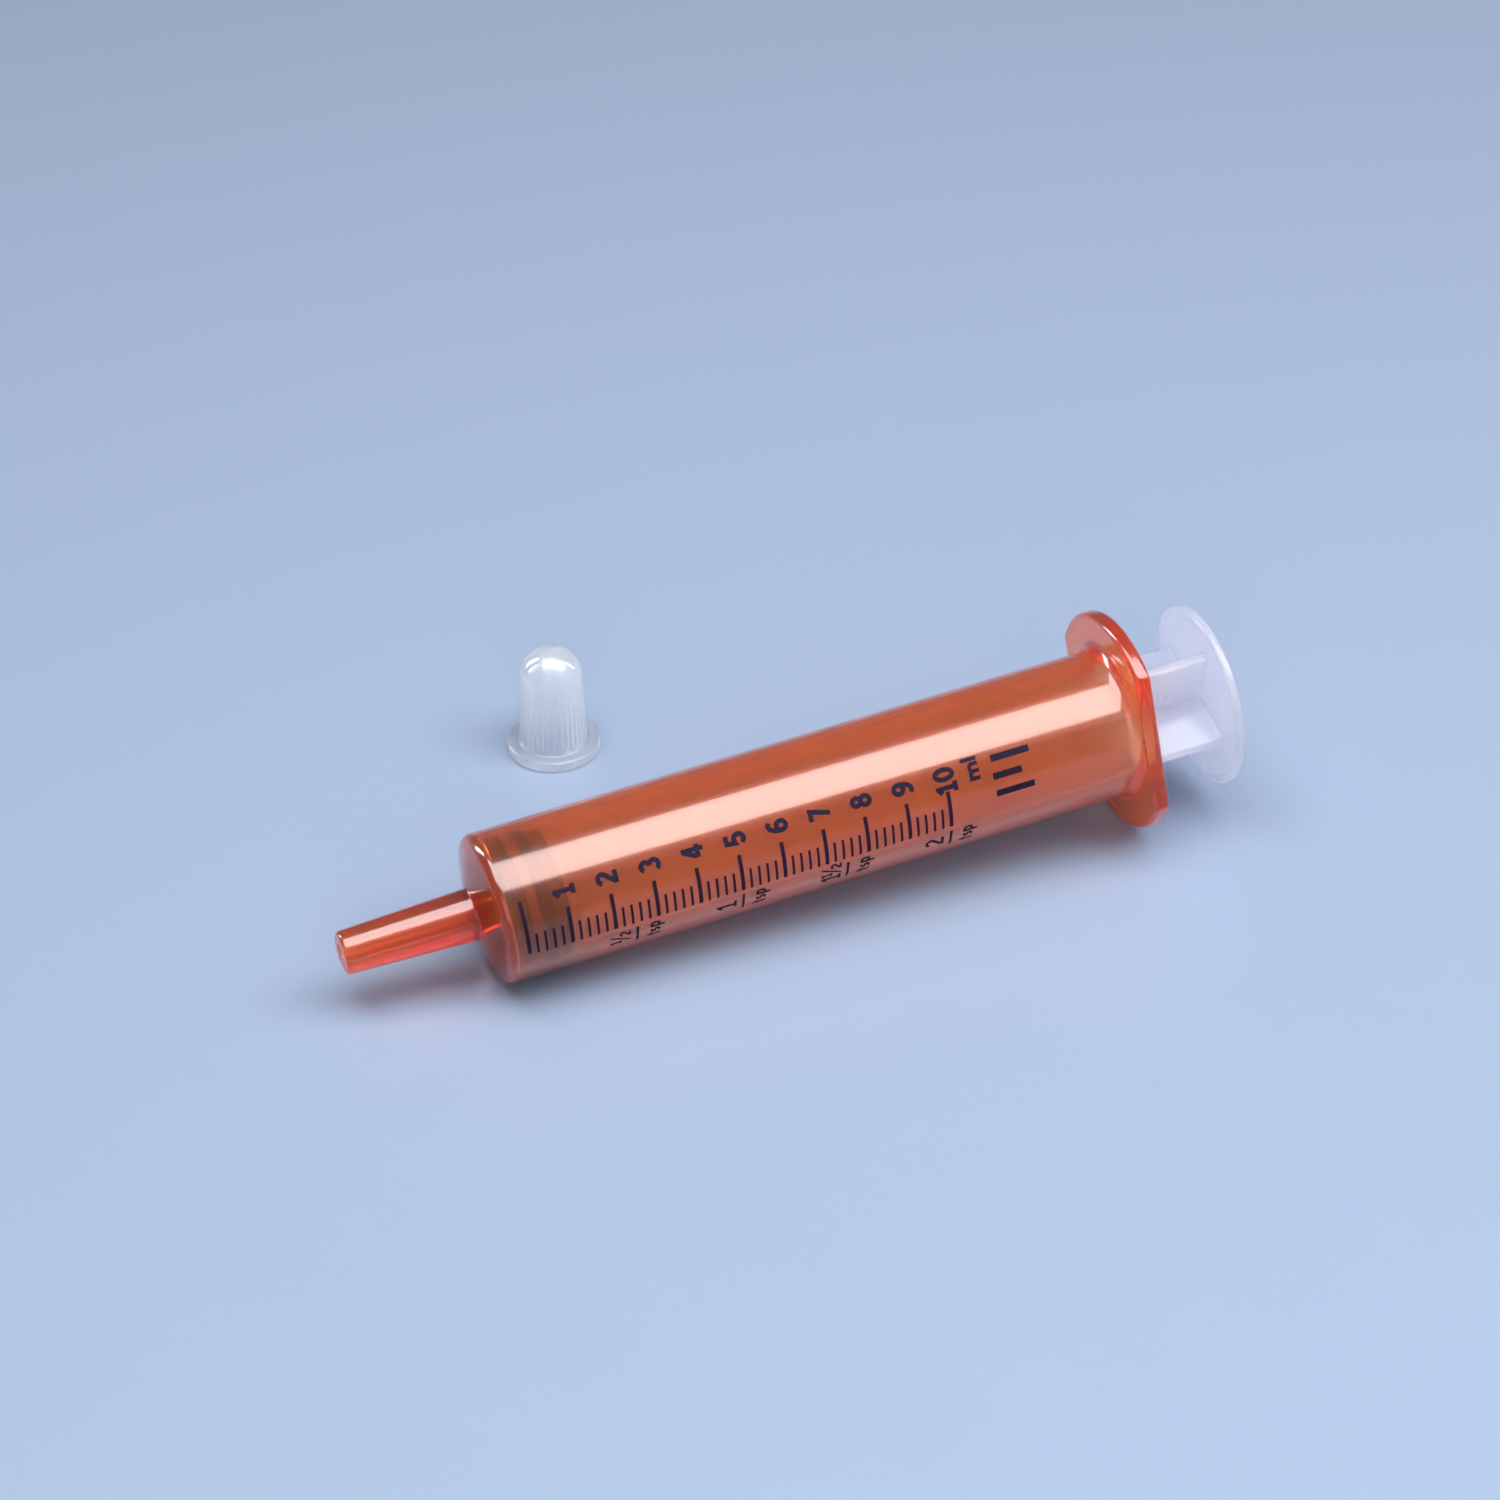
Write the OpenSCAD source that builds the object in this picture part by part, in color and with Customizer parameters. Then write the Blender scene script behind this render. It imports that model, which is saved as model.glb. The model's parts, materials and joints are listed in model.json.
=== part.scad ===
// Ten millilitre oral syringe lying on a table, with its tip cap standing beside it.
// Each syringe piece is drawn about the barrel's own axis: Z runs from the front shoulder
// towards the thumb, X is up and Y is towards the printed side. lay_down() then rests the
// barrel on its shoulder and its flange, so the axis rises a few degrees towards the thumb.

/* [Barrel] */
// Volume of the printed scale in millilitres
scale_volume = 10; // [5:1:20]
// Length of the printed scale
scale_length = 51.65; // [40:0.05:70]
// Wall of the tube
tube_wall = 1.0; // [0.7:0.05:1.5]
// Thickness of the closed front
front_wall = 1.25; // [1:0.05:2]
// Slope of the front face
face_angle = 14.5; // [5:0.5:30]
// Rounding between front face and tube
shoulder_r = 1.1; // [0.5:0.1:2]
// Distance from the shoulder to the front of the finger flange
flange_at = 78.45; // [70:0.05:95]
// Fillet between tube and flange
flange_fillet = 1.4; // [0.5:0.1:3]
// Lead-in at the open end of the bore
mouth_chamfer = 0.4; // [0.2:0.1:0.8]

/* [Nozzle] */
// Length of the nozzle in front of the shoulder
nozzle_length = 16.9; // [10:0.1:20]
// Radius of the nozzle where it leaves the front face
nozzle_root_r = 3.05; // [2.6:0.05:3.5]
// Radius of the nozzle at its tip
nozzle_tip_r = 2.55; // [2.2:0.05:3]
// Rounding of the nozzle's tip
nozzle_edge_r = 0.45; // [0.2:0.05:0.8]
// Radius of the fluid channel
channel_r = 1.1; // [0.7:0.05:1.6]

/* [Finger flange] */
// Largest radius of the flange
flange_r = 13.2; // [11:0.1:16]
// Distance of each flat side from the axis
flange_flat = 10.4; // [9:0.1:11]
// Thickness of the flange
flange_thickness = 1.9; // [1.2:0.1:3]
// Rounding of the flange's corners
flange_corner_r = 0.9; // [0.3:0.1:2]
// Turn of the flange about the axis, away from the printed side
flange_turn = 17.85; // [0:0.05:30]

/* [Piston] */
// Running clearance between the seal and the bore
seal_clearance = 0.03; // [0.01:0.01:0.1]
// Gap between the piston and the closed front when fully in
front_gap = 0.15; // [0.05:0.05:0.5]
// Rear end of the piston
piston_end = 8.2; // [7.5:0.05:12]
// Radius of the piston between its sealing ribs
waist_r = 7.25; // [6.5:0.05:7.6]
// Rounding of each sealing rib
seal_edge_r = 0.3; // [0.1:0.05:0.5]
// Radius of the flat nose at the piston's tip
nose_r = 1.6; // [1:0.1:3]
// Radius of the piston's front face inside its chamfer
front_r = 6.2; // [5:0.1:7]
// Where that chamfer reaches the waist
chamfer_end = 1.95; // [1.5:0.05:2.2]
// Where each sealing rib starts
rib_starts = [2.2, 4.95];
// Length of each sealing rib
rib_length = 1.3; // [0.6:0.1:1.5]

/* [Plunger rod] */
// Radius of the thumb disc
disc_r = 10.9; // [9:0.1:13]
// Front face of the thumb disc
disc_at = 89.75; // [85:0.05:110]
// Thickness of the thumb disc
disc_thickness = 1.2; // [0.8:0.1:2]
// Rounding of the thumb disc's rim
disc_edge_r = 0.45; // [0.2:0.05:0.6]
// Width of the cross shaped rod
rod_width = 14.8; // [12:0.1:15.2]
// Thickness of the rod's ribs
rod_rib = 1.3; // [0.8:0.1:2]
// Turn of the ribs about the axis, towards the printed side
rod_turn = 16; // [0:1:45]
// Radius of the disc that pushes the piston
pusher_r = 7.3; // [6:0.1:7.5]
// Thickness of the disc that pushes the piston
pusher_thickness = 1.2; // [0.8:0.1:2]
// Radius of the neck inside the piston
neck_r = 2.0; // [1.5:0.1:2.5]
// Radius of the button that holds the piston
button_r = 2.9; // [2.4:0.1:3.5]
// Thickness of that button
button_thickness = 1.3; // [0.8:0.1:1.6]
// Length of the neck between the button and the disc that pushes the piston
neck_length = 2.8; // [2:0.1:3.5]
// Running clearance of neck and button in the piston
button_clearance = 0.05; // [0.02:0.01:0.1]

/* [Tip cap] */
// Overall height of the cap
cap_height = 14.2; // [12:0.1:18]
// Radius of the body just above its foot
cap_root_r = 4.17; // [4:0.01:5]
// Radius of the body under its dome
cap_top_r = 3.8; // [3.5:0.05:4.5]
// Radius of the foot flange
cap_foot_r = 5.7; // [5:0.1:7]
// Thickness of the foot flange
cap_foot = 1.3; // [0.6:0.1:1.8]
// Radius of the socket at its mouth
socket_mouth_r = 3.12; // [3.05:0.01:3.3]
// Depth of the socket's tapered part
socket_depth = 10; // [8:0.5:11]
// Radius of the socket at that depth
socket_end_r = 2.8; // [2.6:0.05:3]
// Where the cap stands: along the barrel from its shoulder, and sideways from its axis
cap_place = [22, 37.6];

/* [Hidden] */
$fn = 96;

// The bore follows from the volume of the scale and its length
mm3_per_ml = 1000;
bore_r = sqrt(scale_volume * mm3_per_ml / (PI * scale_length));
barrel_r = bore_r + tube_wall;
flange_end = flange_at + flange_thickness;
disc_end = disc_at + disc_thickness;

// Front face: a shallow cone that meets the shoulder's rounding without a step
shoulder_at = shoulder_r * cos(face_angle);
face_r = barrel_r - shoulder_r + shoulder_r * sin(face_angle);
function outer_face(r) = (r - face_r) * tan(face_angle);
function inner_face(r) = outer_face(r) + front_wall / cos(face_angle);
function piston_face(r) = inner_face(r) + front_gap;

// Rest on the table: shoulder and flange both touch it
rest_run = flange_at - shoulder_at;
rest_rise = flange_r - barrel_r + shoulder_r;
tilt = atan2(rest_rise, rest_run) - asin(shoulder_r / norm([rest_run, rest_rise]));
axis_height = (barrel_r - shoulder_r) * cos(tilt) + shoulder_r - shoulder_at * sin(tilt);

// Middle of the whole model, so that the origin is at the centre of its footprint
tip_reach = (nozzle_length - nozzle_edge_r) * cos(tilt) + (nozzle_tip_r - nozzle_edge_r) * sin(tilt);
low_x = -tip_reach - nozzle_edge_r;
high_x = (disc_end - disc_edge_r) * cos(tilt) + (disc_r - disc_edge_r) * sin(tilt) + disc_edge_r;
corner_along = sqrt(pow(flange_r - flange_corner_r, 2) - pow(flange_flat - flange_corner_r, 2));
corner_across = flange_flat - flange_corner_r;
low_y = -(corner_along * sin(flange_turn) + corner_across * cos(flange_turn) + flange_corner_r);
high_y = cap_place.y + cap_foot_r;
middle = [(low_x + high_x) / 2, (low_y + high_y) / 2];

// Piston cavity and the button that sits in it
pusher_at = piston_end + button_clearance;
button_end = pusher_at - neck_length;
button_at = button_end - button_thickness;
seal_r = bore_r - seal_clearance;

// Overlap that joins solids of one moulding, and how far a cut runs past its end
weld = 0.2;
past = 1;

module lay_down() {
    translate([-middle.x, -middle.y, axis_height])
        rotate([0, 90 - tilt, 0])
            rotate([0, 0, 180])
                children();
}

// Block of a half section from radius r0 to r1 and from height z0 to z1
module band(r0, r1, z0, z1) {
    translate([r0, z0])
        square([r1 - r0, z1 - z0]);
}

// Band whose outer corners are rounded
module round_band(r1, z0, z1, edge) {
    band(0, r1 - edge, z0, z1);
    band(0, r1, z0 + edge, z1 - edge);
    for (z = [z0 + edge, z1 - edge])
        translate([r1 - edge, z])
            circle(r = edge);
}

// Half section of the tube with its closed front and the nozzle
module barrel_section() {
    tip = -nozzle_length;
    translate([barrel_r - shoulder_r, shoulder_at])
        circle(r = shoulder_r);
    polygon([
        [0, outer_face(nozzle_root_r)],
        [nozzle_root_r, outer_face(nozzle_root_r)],
        [face_r, 0],
        [barrel_r - shoulder_r, shoulder_at],
        [barrel_r, shoulder_at],
        [barrel_r, flange_end],
        [0, flange_end]
    ]);
    polygon([
        [0, tip],
        [nozzle_tip_r - nozzle_edge_r, tip],
        [nozzle_tip_r, tip + nozzle_edge_r],
        [nozzle_root_r, outer_face(nozzle_root_r) + weld],
        [0, outer_face(nozzle_root_r) + weld]
    ]);
    translate([nozzle_tip_r - nozzle_edge_r, tip + nozzle_edge_r])
        circle(r = nozzle_edge_r);
}

// Half section of the fillet in front of the flange
module fillet_section() {
    difference() {
        band(barrel_r - weld, barrel_r + flange_fillet, flange_at - flange_fillet, flange_at + weld);
        translate([barrel_r + flange_fillet, flange_at - flange_fillet])
            circle(r = flange_fillet);
    }
}

// Half section of the bore with its conical front, the fluid channel and the open mouth
module bore_section() {
    polygon([
        [0, inner_face(channel_r)],
        [channel_r, inner_face(channel_r)],
        [bore_r, inner_face(bore_r)],
        [bore_r, flange_end - mouth_chamfer],
        [bore_r + mouth_chamfer, flange_end],
        [bore_r + mouth_chamfer, flange_end + past],
        [0, flange_end + past]
    ]);
    band(0, channel_r, -nozzle_length - past, inner_face(channel_r) + weld);
}

// Round flange with two flat sides and rounded corners
module flange_outline() {
    difference() {
        intersection() {
            circle(r = flange_r);
            square([2 * flange_r, 2 * flange_flat], center = true);
        }
        for (along = [-1, 1], across = [-1, 1])
            flange_corner_waste(along, across);
    }
    for (along = [-1, 1], across = [-1, 1])
        translate([along * corner_along, across * corner_across])
            circle(r = flange_corner_r);
}

// Sharp corner outside the rounding: between the flat's and the round edge's tangent points
module flange_corner_waste(along, across) {
    reach = (flange_r + past) / (flange_r - flange_corner_r);
    polygon([
        [along * corner_along, across * corner_across],
        [along * corner_along, across * (flange_flat + past)],
        [along * (corner_along * reach + past), across * (flange_flat + past)],
        [along * corner_along * reach, across * corner_across * reach]
    ]);
}

module barrel() {
    color([0.80, 0.36, 0.20])
        lay_down()
            difference() {
                union() {
                    rotate_extrude() {
                        barrel_section();
                        fillet_section();
                    }
                    translate([0, 0, flange_at])
                        rotate([0, 0, -flange_turn])
                            linear_extrude(flange_thickness)
                                flange_outline();
                }
                rotate_extrude()
                    bore_section();
            }
}

// Hollow rubber piston with two sealing ribs and a cavity for the rod's button
module piston_section() {
    difference() {
        union() {
            polygon([
                [0, piston_face(nose_r)],
                [nose_r, piston_face(nose_r)],
                [front_r, piston_face(front_r)],
                [waist_r, chamfer_end],
                [waist_r, piston_end],
                [0, piston_end]
            ]);
            for (start = rib_starts)
                round_band(seal_r, start, start + rib_length, seal_edge_r);
        }
        band(0, button_r + button_clearance, button_at - button_clearance, button_end + button_clearance);
        band(0, neck_r + button_clearance, button_end, piston_end + past);
    }
}

module piston() {
    color([0.28, 0.30, 0.27])
        lay_down()
            rotate_extrude()
                piston_section();
}

// Turned parts of the plunger: button, neck, pusher disc and thumb disc
module plunger_section() {
    band(0, button_r, button_at, button_end);
    band(0, neck_r, button_end - weld, pusher_at + weld);
    band(0, pusher_r, pusher_at, pusher_at + pusher_thickness);
    round_band(disc_r, disc_at, disc_end, disc_edge_r);
}

module plunger_rod() {
    rib_from = pusher_at + pusher_thickness - weld;
    rib_height = disc_at + weld - rib_from;
    color([0.88, 0.88, 0.92])
        lay_down() {
            rotate_extrude()
                plunger_section();
            for (turn = [0, 90])
                rotate([0, 0, rod_turn + turn])
                    translate([-rod_width / 2, -rod_rib / 2, rib_from])
                        cube([rod_width, rod_rib, rib_height]);
        }
}

// Half section of the domed cap, standing on its open end
module cap_section() {
    dome_at = cap_height - cap_top_r;
    difference() {
        union() {
            band(0, cap_foot_r, 0, cap_foot);
            polygon([
                [0, 0],
                [cap_root_r, 0],
                [cap_root_r, cap_foot],
                [cap_top_r, dome_at],
                [0, dome_at]
            ]);
            translate([0, dome_at])
                intersection() {
                    circle(r = cap_top_r);
                    square(cap_top_r + past);
                }
        }
        polygon([
            [0, -past],
            [socket_mouth_r, -past],
            [socket_mouth_r, 0],
            [socket_end_r, socket_depth],
            [0, socket_depth]
        ]);
        translate([0, socket_depth])
            circle(r = socket_end_r);
    }
}

module tip_cap() {
    color([0.80, 0.82, 0.90])
        translate([cap_place.x - middle.x, cap_place.y - middle.y, 0])
            rotate_extrude()
                intersection() {
                    cap_section();
                    band(0, cap_foot_r + past, 0, cap_height + past);
                }
}

barrel();
piston();
plunger_rod();
tip_cap();
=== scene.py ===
import json
import math

import bmesh
import bpy
from mathutils import Matrix, Vector


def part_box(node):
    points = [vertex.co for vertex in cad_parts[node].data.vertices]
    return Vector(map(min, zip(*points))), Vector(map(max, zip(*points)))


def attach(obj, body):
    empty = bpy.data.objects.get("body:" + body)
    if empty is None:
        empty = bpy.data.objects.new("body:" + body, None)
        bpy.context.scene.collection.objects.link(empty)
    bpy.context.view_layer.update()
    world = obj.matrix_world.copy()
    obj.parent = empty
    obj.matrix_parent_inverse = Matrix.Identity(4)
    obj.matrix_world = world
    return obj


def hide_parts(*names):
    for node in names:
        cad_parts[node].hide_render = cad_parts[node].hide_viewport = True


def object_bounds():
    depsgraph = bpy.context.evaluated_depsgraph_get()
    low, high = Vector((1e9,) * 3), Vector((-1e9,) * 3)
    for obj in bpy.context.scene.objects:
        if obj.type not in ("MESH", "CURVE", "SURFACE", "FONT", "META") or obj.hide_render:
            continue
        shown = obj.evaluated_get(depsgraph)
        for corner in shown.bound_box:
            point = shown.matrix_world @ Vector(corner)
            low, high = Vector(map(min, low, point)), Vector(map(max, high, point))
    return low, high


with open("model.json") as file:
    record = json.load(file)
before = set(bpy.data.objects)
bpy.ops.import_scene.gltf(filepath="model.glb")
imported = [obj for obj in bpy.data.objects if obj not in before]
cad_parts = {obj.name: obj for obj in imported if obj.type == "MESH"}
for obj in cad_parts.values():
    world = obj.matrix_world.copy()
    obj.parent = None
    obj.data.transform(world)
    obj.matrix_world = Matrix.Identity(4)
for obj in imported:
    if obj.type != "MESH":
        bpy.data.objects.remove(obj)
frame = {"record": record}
cad_box = [list(corner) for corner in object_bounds()]

MM = 0.001
TURN = 2 * math.pi
# Anything shorter counts as zero
TINY = 1e-6

# ---------------------------------------------------------------- sizes of the syringe, in millimetres

BORE_R = 7.85
TUBE_R = 8.85
FACE_ANGLE = math.radians(14.5)
FRONT_WALL = 1.25
SHOULDER_R = 1.1
FLANGE_AT = 78.45
FLANGE_THICKNESS = 1.9
FLANGE_END = FLANGE_AT + FLANGE_THICKNESS
FLANGE_FILLET = 1.4
FLANGE_R = 13.2
FLANGE_FLAT = 10.4
FLANGE_CORNER_R = 0.9
FLANGE_TURN = math.radians(-17.85)
FLANGE_EDGE_R = 0.55
NOZZLE_LENGTH = 16.9
NOZZLE_ROOT_R = 3.05
NOZZLE_TIP_R = 2.55
NOZZLE_EDGE_R = 0.45
CHANNEL_R = 1.1

SCALE_START = 2.47
SCALE_ML = 10
TICKS_PER_ML = 5
ML = 5.165

DISC_AT = 89.75
DISC_THICKNESS = 1.2
DISC_END = DISC_AT + DISC_THICKNESS
DISC_R = 10.9
ROD_WIDTH = 14.8
ROD_RIB = 1.3
ROD_TURN = math.radians(16)
PISTON_END = 8.2
PISTON_RIBS = (2.2, 4.95)
PISTON_RIB_LENGTH = 1.3
PISTON_CLEARANCE = 0.05
PUSHER_AT = PISTON_END + PISTON_CLEARANCE
PUSHER_THICKNESS = 1.2
PUSHER_R = 7.3
NECK_R = 2.0
NECK_LENGTH = 2.8
BUTTON_R = 2.9
BUTTON_THICKNESS = 1.3
BUTTON_END = PUSHER_AT - NECK_LENGTH
BUTTON_AT = BUTTON_END - BUTTON_THICKNESS

CAP_HEIGHT = 14.2
CAP_FOOT = 1.3
CAP_FOOT_R = 5.7
CAP_ROOT_R = 4.17
CAP_TOP_R = 3.8
CAP_FILLET = 0.3
CAP_DOME_AT = CAP_HEIGHT - CAP_TOP_R
CAP_FLUTES = 36
CAP_KNURLS = 108
SOCKET_MOUTH_R = 3.12
SOCKET_END_R = 2.8
SOCKET_DEPTH = 10

# ---------------------------------------------------------------- places, taken from the frame

mounts = {m["name"]: m for m in frame["record"]["mounts"]}
AXIS = Vector(mounts["thumb_face"]["axis"]).normalized()
SIDE = Vector((0, -1, 0))
UP = SIDE.cross(AXIS).normalized()
START = Vector(mounts["thumb_face"]["pos_m"]) - AXIS * DISC_END * MM
# The syringe's own frame: x to its upper side, y to its printed side, z along its axis, 0 at the shoulder
SYRINGE = Matrix.Translation(START) @ Matrix((UP, SIDE, AXIS)).transposed().to_4x4()

cap_low, cap_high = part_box("tip_cap")
CAP = Matrix.Translation(((cap_low[0] + cap_high[0]) / 2, (cap_low[1] + cap_high[1]) / 2, 0))


# ---------------------------------------------------------------- half sections

def arc(centre, radius, start, end, steps=8):
    """Points of a circle's arc in a half section (radius from the axis, height), angles in degrees."""
    angles = [math.radians(start + (end - start) * i / steps) for i in range(steps + 1)]
    return [(centre[0] + radius * math.cos(a), centre[1] + radius * math.sin(a)) for a in angles]


def supported(points, gap=0.12, closed=False):
    """Adds a point close to both ends of every long stretch, so that smooth shading stays even there."""
    out = []
    count = len(points)
    for i, point in enumerate(points):
        out.append(point)
        if i == count - 1 and not closed:
            break
        after = points[(i + 1) % count]
        length = math.dist(point, after)
        if length > 4 * gap:
            for share in (gap / length, 1 - gap / length):
                out.append(tuple(a + (b - a) * share for a, b in zip(point, after)))
    return out


def revolve(name, section, place, shape=None, segments=192, closed=False):
    """Lathe of a half section. shape(radius, height, angle) may move each point off the round."""
    bm = bmesh.new()
    rings = []
    for radius, height in section:
        if radius < TINY:
            rings.append([bm.verts.new((0, 0, height * MM))])
            continue
        ring = []
        for k in range(segments):
            angle = TURN * k / segments
            r, z = shape(radius, height, angle) if shape else (radius, height)
            ring.append(bm.verts.new((r * math.cos(angle) * MM, r * math.sin(angle) * MM, z * MM)))
        rings.append(ring)
    pairs = list(zip(rings, rings[1:]))
    if closed:
        pairs.append((rings[-1], rings[0]))
    for low, high in pairs:
        for k in range(segments):
            n = (k + 1) % segments
            corners = [low[k % len(low)], low[n % len(low)], high[n % len(high)], high[k % len(high)]]
            bm.faces.new(list(dict.fromkeys(corners)))
    return finish_mesh(name, bm, place)


def finish_mesh(name, bm, place, smooth=True):
    """Makes an object of the mesh, with its place written into the mesh itself."""
    bmesh.ops.recalc_face_normals(bm, faces=bm.faces)
    for face in bm.faces:
        face.smooth = smooth
    mesh = bpy.data.meshes.new(name)
    bm.to_mesh(mesh)
    bm.free()
    mesh.transform(place)
    obj = bpy.data.objects.new(name, mesh)
    bpy.context.scene.collection.objects.link(obj)
    return obj


def outer_face(r):
    """Height of the barrel's conical front face at radius r."""
    face_r = TUBE_R - SHOULDER_R + SHOULDER_R * math.sin(FACE_ANGLE)
    return (r - face_r) * math.tan(FACE_ANGLE)


def inner_face(r):
    """Height of the closed front's inner side at radius r."""
    return outer_face(r) + FRONT_WALL / math.cos(FACE_ANGLE)


# ---------------------------------------------------------------- barrel

def flange_radius(angle):
    """Distance from the axis to the flange's outline: a circle with two flats and rounded corners."""
    turned = angle - FLANGE_TURN
    along, across = abs(math.cos(turned)), abs(math.sin(turned))
    round_r, flat = FLANGE_R - FLANGE_CORNER_R, FLANGE_FLAT - FLANGE_CORNER_R
    corner = Vector((math.sqrt(round_r**2 - flat**2), flat))
    ray = Vector((along, across))
    reach = corner.dot(ray)
    off = corner.length_squared - reach**2
    if off < FLANGE_CORNER_R**2:
        tip = reach + math.sqrt(FLANGE_CORNER_R**2 - off)
        point = ray * tip
        if point.y >= flat and point.x >= corner.x:
            outward = point - corner
            if outward.y * corner.x >= outward.x * corner.y:
                return tip
    if FLANGE_FLAT < FLANGE_R * across:
        return FLANGE_FLAT / across
    return FLANGE_R


def barrel_shape(radius, height, angle):
    """The lathe's points on the flange's rim follow the flange's outline."""
    rim_width = 1.0
    if radius <= FLANGE_R - rim_width:
        return radius, height
    return flange_radius(angle) - (FLANGE_R - radius), height


def make_barrel():
    """Nozzle, closed front, tube and flange in one lathe, with the channel and the bore inside."""
    nozzle_fillet = 0.35
    root = outer_face(NOZZLE_ROOT_R + nozzle_fillet)
    edge = FLANGE_EDGE_R
    tip = -NOZZLE_LENGTH
    shoulder = (TUBE_R - SHOULDER_R, SHOULDER_R * math.cos(FACE_ANGLE))
    bore_corner = 0.5
    corner_at = inner_face(BORE_R - bore_corner) + bore_corner
    mouth = 0.4
    lip = 0.2
    channel_at = inner_face(CHANNEL_R + lip) - lip
    face = 90 - math.degrees(FACE_ANGLE)
    section = [
        *arc((CHANNEL_R + lip, tip + lip), lip, 180, 270, 4),
        *arc((NOZZLE_TIP_R - NOZZLE_EDGE_R, tip + NOZZLE_EDGE_R), NOZZLE_EDGE_R, 270, 360),
        *arc((NOZZLE_ROOT_R + nozzle_fillet, root - nozzle_fillet), nozzle_fillet, 180, 104, 6),
        *arc(shoulder, SHOULDER_R, -face, 0, 12),
        *arc((TUBE_R + FLANGE_FILLET, FLANGE_AT - FLANGE_FILLET), FLANGE_FILLET, 180, 90, 10),
        *arc((FLANGE_R - edge, FLANGE_AT + edge), edge, 270, 360),
        *arc((FLANGE_R - edge, FLANGE_END - edge), edge, 0, 90),
        *arc((BORE_R + mouth, FLANGE_END - mouth), mouth, 90, 180, 6),
        *arc((BORE_R - bore_corner, corner_at), bore_corner, 0, -face, 8),
        *arc((CHANNEL_R + lip, channel_at), lip, 104, 180, 4),
    ]
    outline = supported(section, closed=True)
    barrel = revolve("barrel_moulding", outline, SYRINGE, barrel_shape, 256, closed=True)
    barrel.data.materials.append(amber_plastic())
    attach(barrel, "barrel")
    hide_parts("barrel")


# ---------------------------------------------------------------- piston

def make_piston():
    """Rubber seal: a cone-faced front, two sealing ribs and a cavity for the rod's button."""
    seal_r, waist_r, front_r, nose_r = BORE_R - 0.02, 7.25, 6.2, 1.2
    front_gap, chamfer_end = 0.15, 1.95
    rib_edge, rib_root = 0.28, 0.12
    rim_edge, mouth_edge = 0.25, 0.3

    def rib(start):
        end = start + PISTON_RIB_LENGTH
        return [
            (waist_r, start - rib_root),
            *arc((seal_r - rib_edge, start + rib_edge), rib_edge, 270, 360, 5),
            *arc((seal_r - rib_edge, end - rib_edge), rib_edge, 0, 90, 5),
            (waist_r, end + rib_root),
        ]

    neck_r, button_r = NECK_R + PISTON_CLEARANCE, BUTTON_R + PISTON_CLEARANCE
    cavity_end, cavity_at = BUTTON_END + PISTON_CLEARANCE, BUTTON_AT - PISTON_CLEARANCE
    section = [
        (0, inner_face(nose_r) + front_gap),
        (nose_r, inner_face(nose_r) + front_gap),
        (front_r, inner_face(front_r) + front_gap),
        (waist_r, chamfer_end),
        *[point for start in PISTON_RIBS for point in rib(start)],
        *arc((waist_r - rim_edge, PISTON_END - rim_edge), rim_edge, 0, 90, 4),
        *arc((neck_r + mouth_edge, PISTON_END - mouth_edge), mouth_edge, 90, 180, 4),
        (neck_r, cavity_end),
        (button_r, cavity_end),
        (button_r, cavity_at),
        (0, cavity_at),
    ]
    piston = revolve("piston_seal", supported(section, 0.1), SYRINGE, None, 160)
    piston.data.materials.append(piston_rubber())
    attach(piston, "piston")
    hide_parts("piston")


# ---------------------------------------------------------------- plunger rod

def cross_outline(half_width, half_rib, edge, root):
    """Outline of the cross-shaped rod, anticlockwise, with rounded rib ends and filleted roots."""
    points = []
    for quarter in range(4):
        turn = quarter * math.pi / 2
        arm = []
        arm += arc((half_width - edge, -half_rib + edge), edge, -90, 0, 4)
        arm += arc((half_width - edge, half_rib - edge), edge, 0, 90, 4)
        arm += arc((half_rib + root, half_rib + root), root, 270, 180, 4)
        c, s = math.cos(turn), math.sin(turn)
        points += [(x * c - y * s, x * s + y * c) for x, y in arm]
    return points


def make_cross(low, high):
    """The rod's ribs from one height to the other, flaring a little where they meet each disc."""
    flare, steps, sunk = 0.45, 4, 0.2
    rib_edge, root, tip_growth = 0.3, 0.35, 0.3
    stations = []
    for step in range(steps + 1):
        a = math.radians(90 * step / steps)
        stations.append((low + flare * (1 - math.cos(a)), flare * (1 - math.sin(a))))
    stations += [(high - (h - low), grow) for h, grow in reversed(stations)]
    stations = [(low - sunk, flare), *stations, (high + sunk, flare)]
    bm = bmesh.new()
    rings = []
    c, s = math.cos(ROD_TURN), math.sin(ROD_TURN)
    for height, grow in stations:
        half_width, half_rib = ROD_WIDTH / 2 + tip_growth * grow, ROD_RIB / 2 + grow
        outline = cross_outline(half_width, half_rib, rib_edge, root)
        turned = [(x * c - y * s, x * s + y * c) for x, y in outline]
        rings.append([bm.verts.new((x * MM, y * MM, height * MM)) for x, y in turned])
    count = len(rings[0])
    for lower, upper in zip(rings, rings[1:]):
        for k in range(count):
            n = (k + 1) % count
            bm.faces.new((lower[k], lower[n], upper[n], upper[k]))
    bm.faces.new(list(reversed(rings[0])))
    bm.faces.new(rings[-1])
    return finish_mesh("rod_ribs", bm, SYRINGE)


def join_solids(base, *others):
    """Boolean union of closed meshes, applied, so that the moulding is one skin."""
    for other in others:
        union = base.modifiers.new("join", "BOOLEAN")
        union.operation = "UNION"
        union.solver = "EXACT"
        union.object = other
    graph = bpy.context.evaluated_depsgraph_get()
    mesh = bpy.data.meshes.new_from_object(base.evaluated_get(graph))
    base.modifiers.clear()
    base.data = mesh
    for other in others:
        bpy.data.objects.remove(other)


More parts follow.
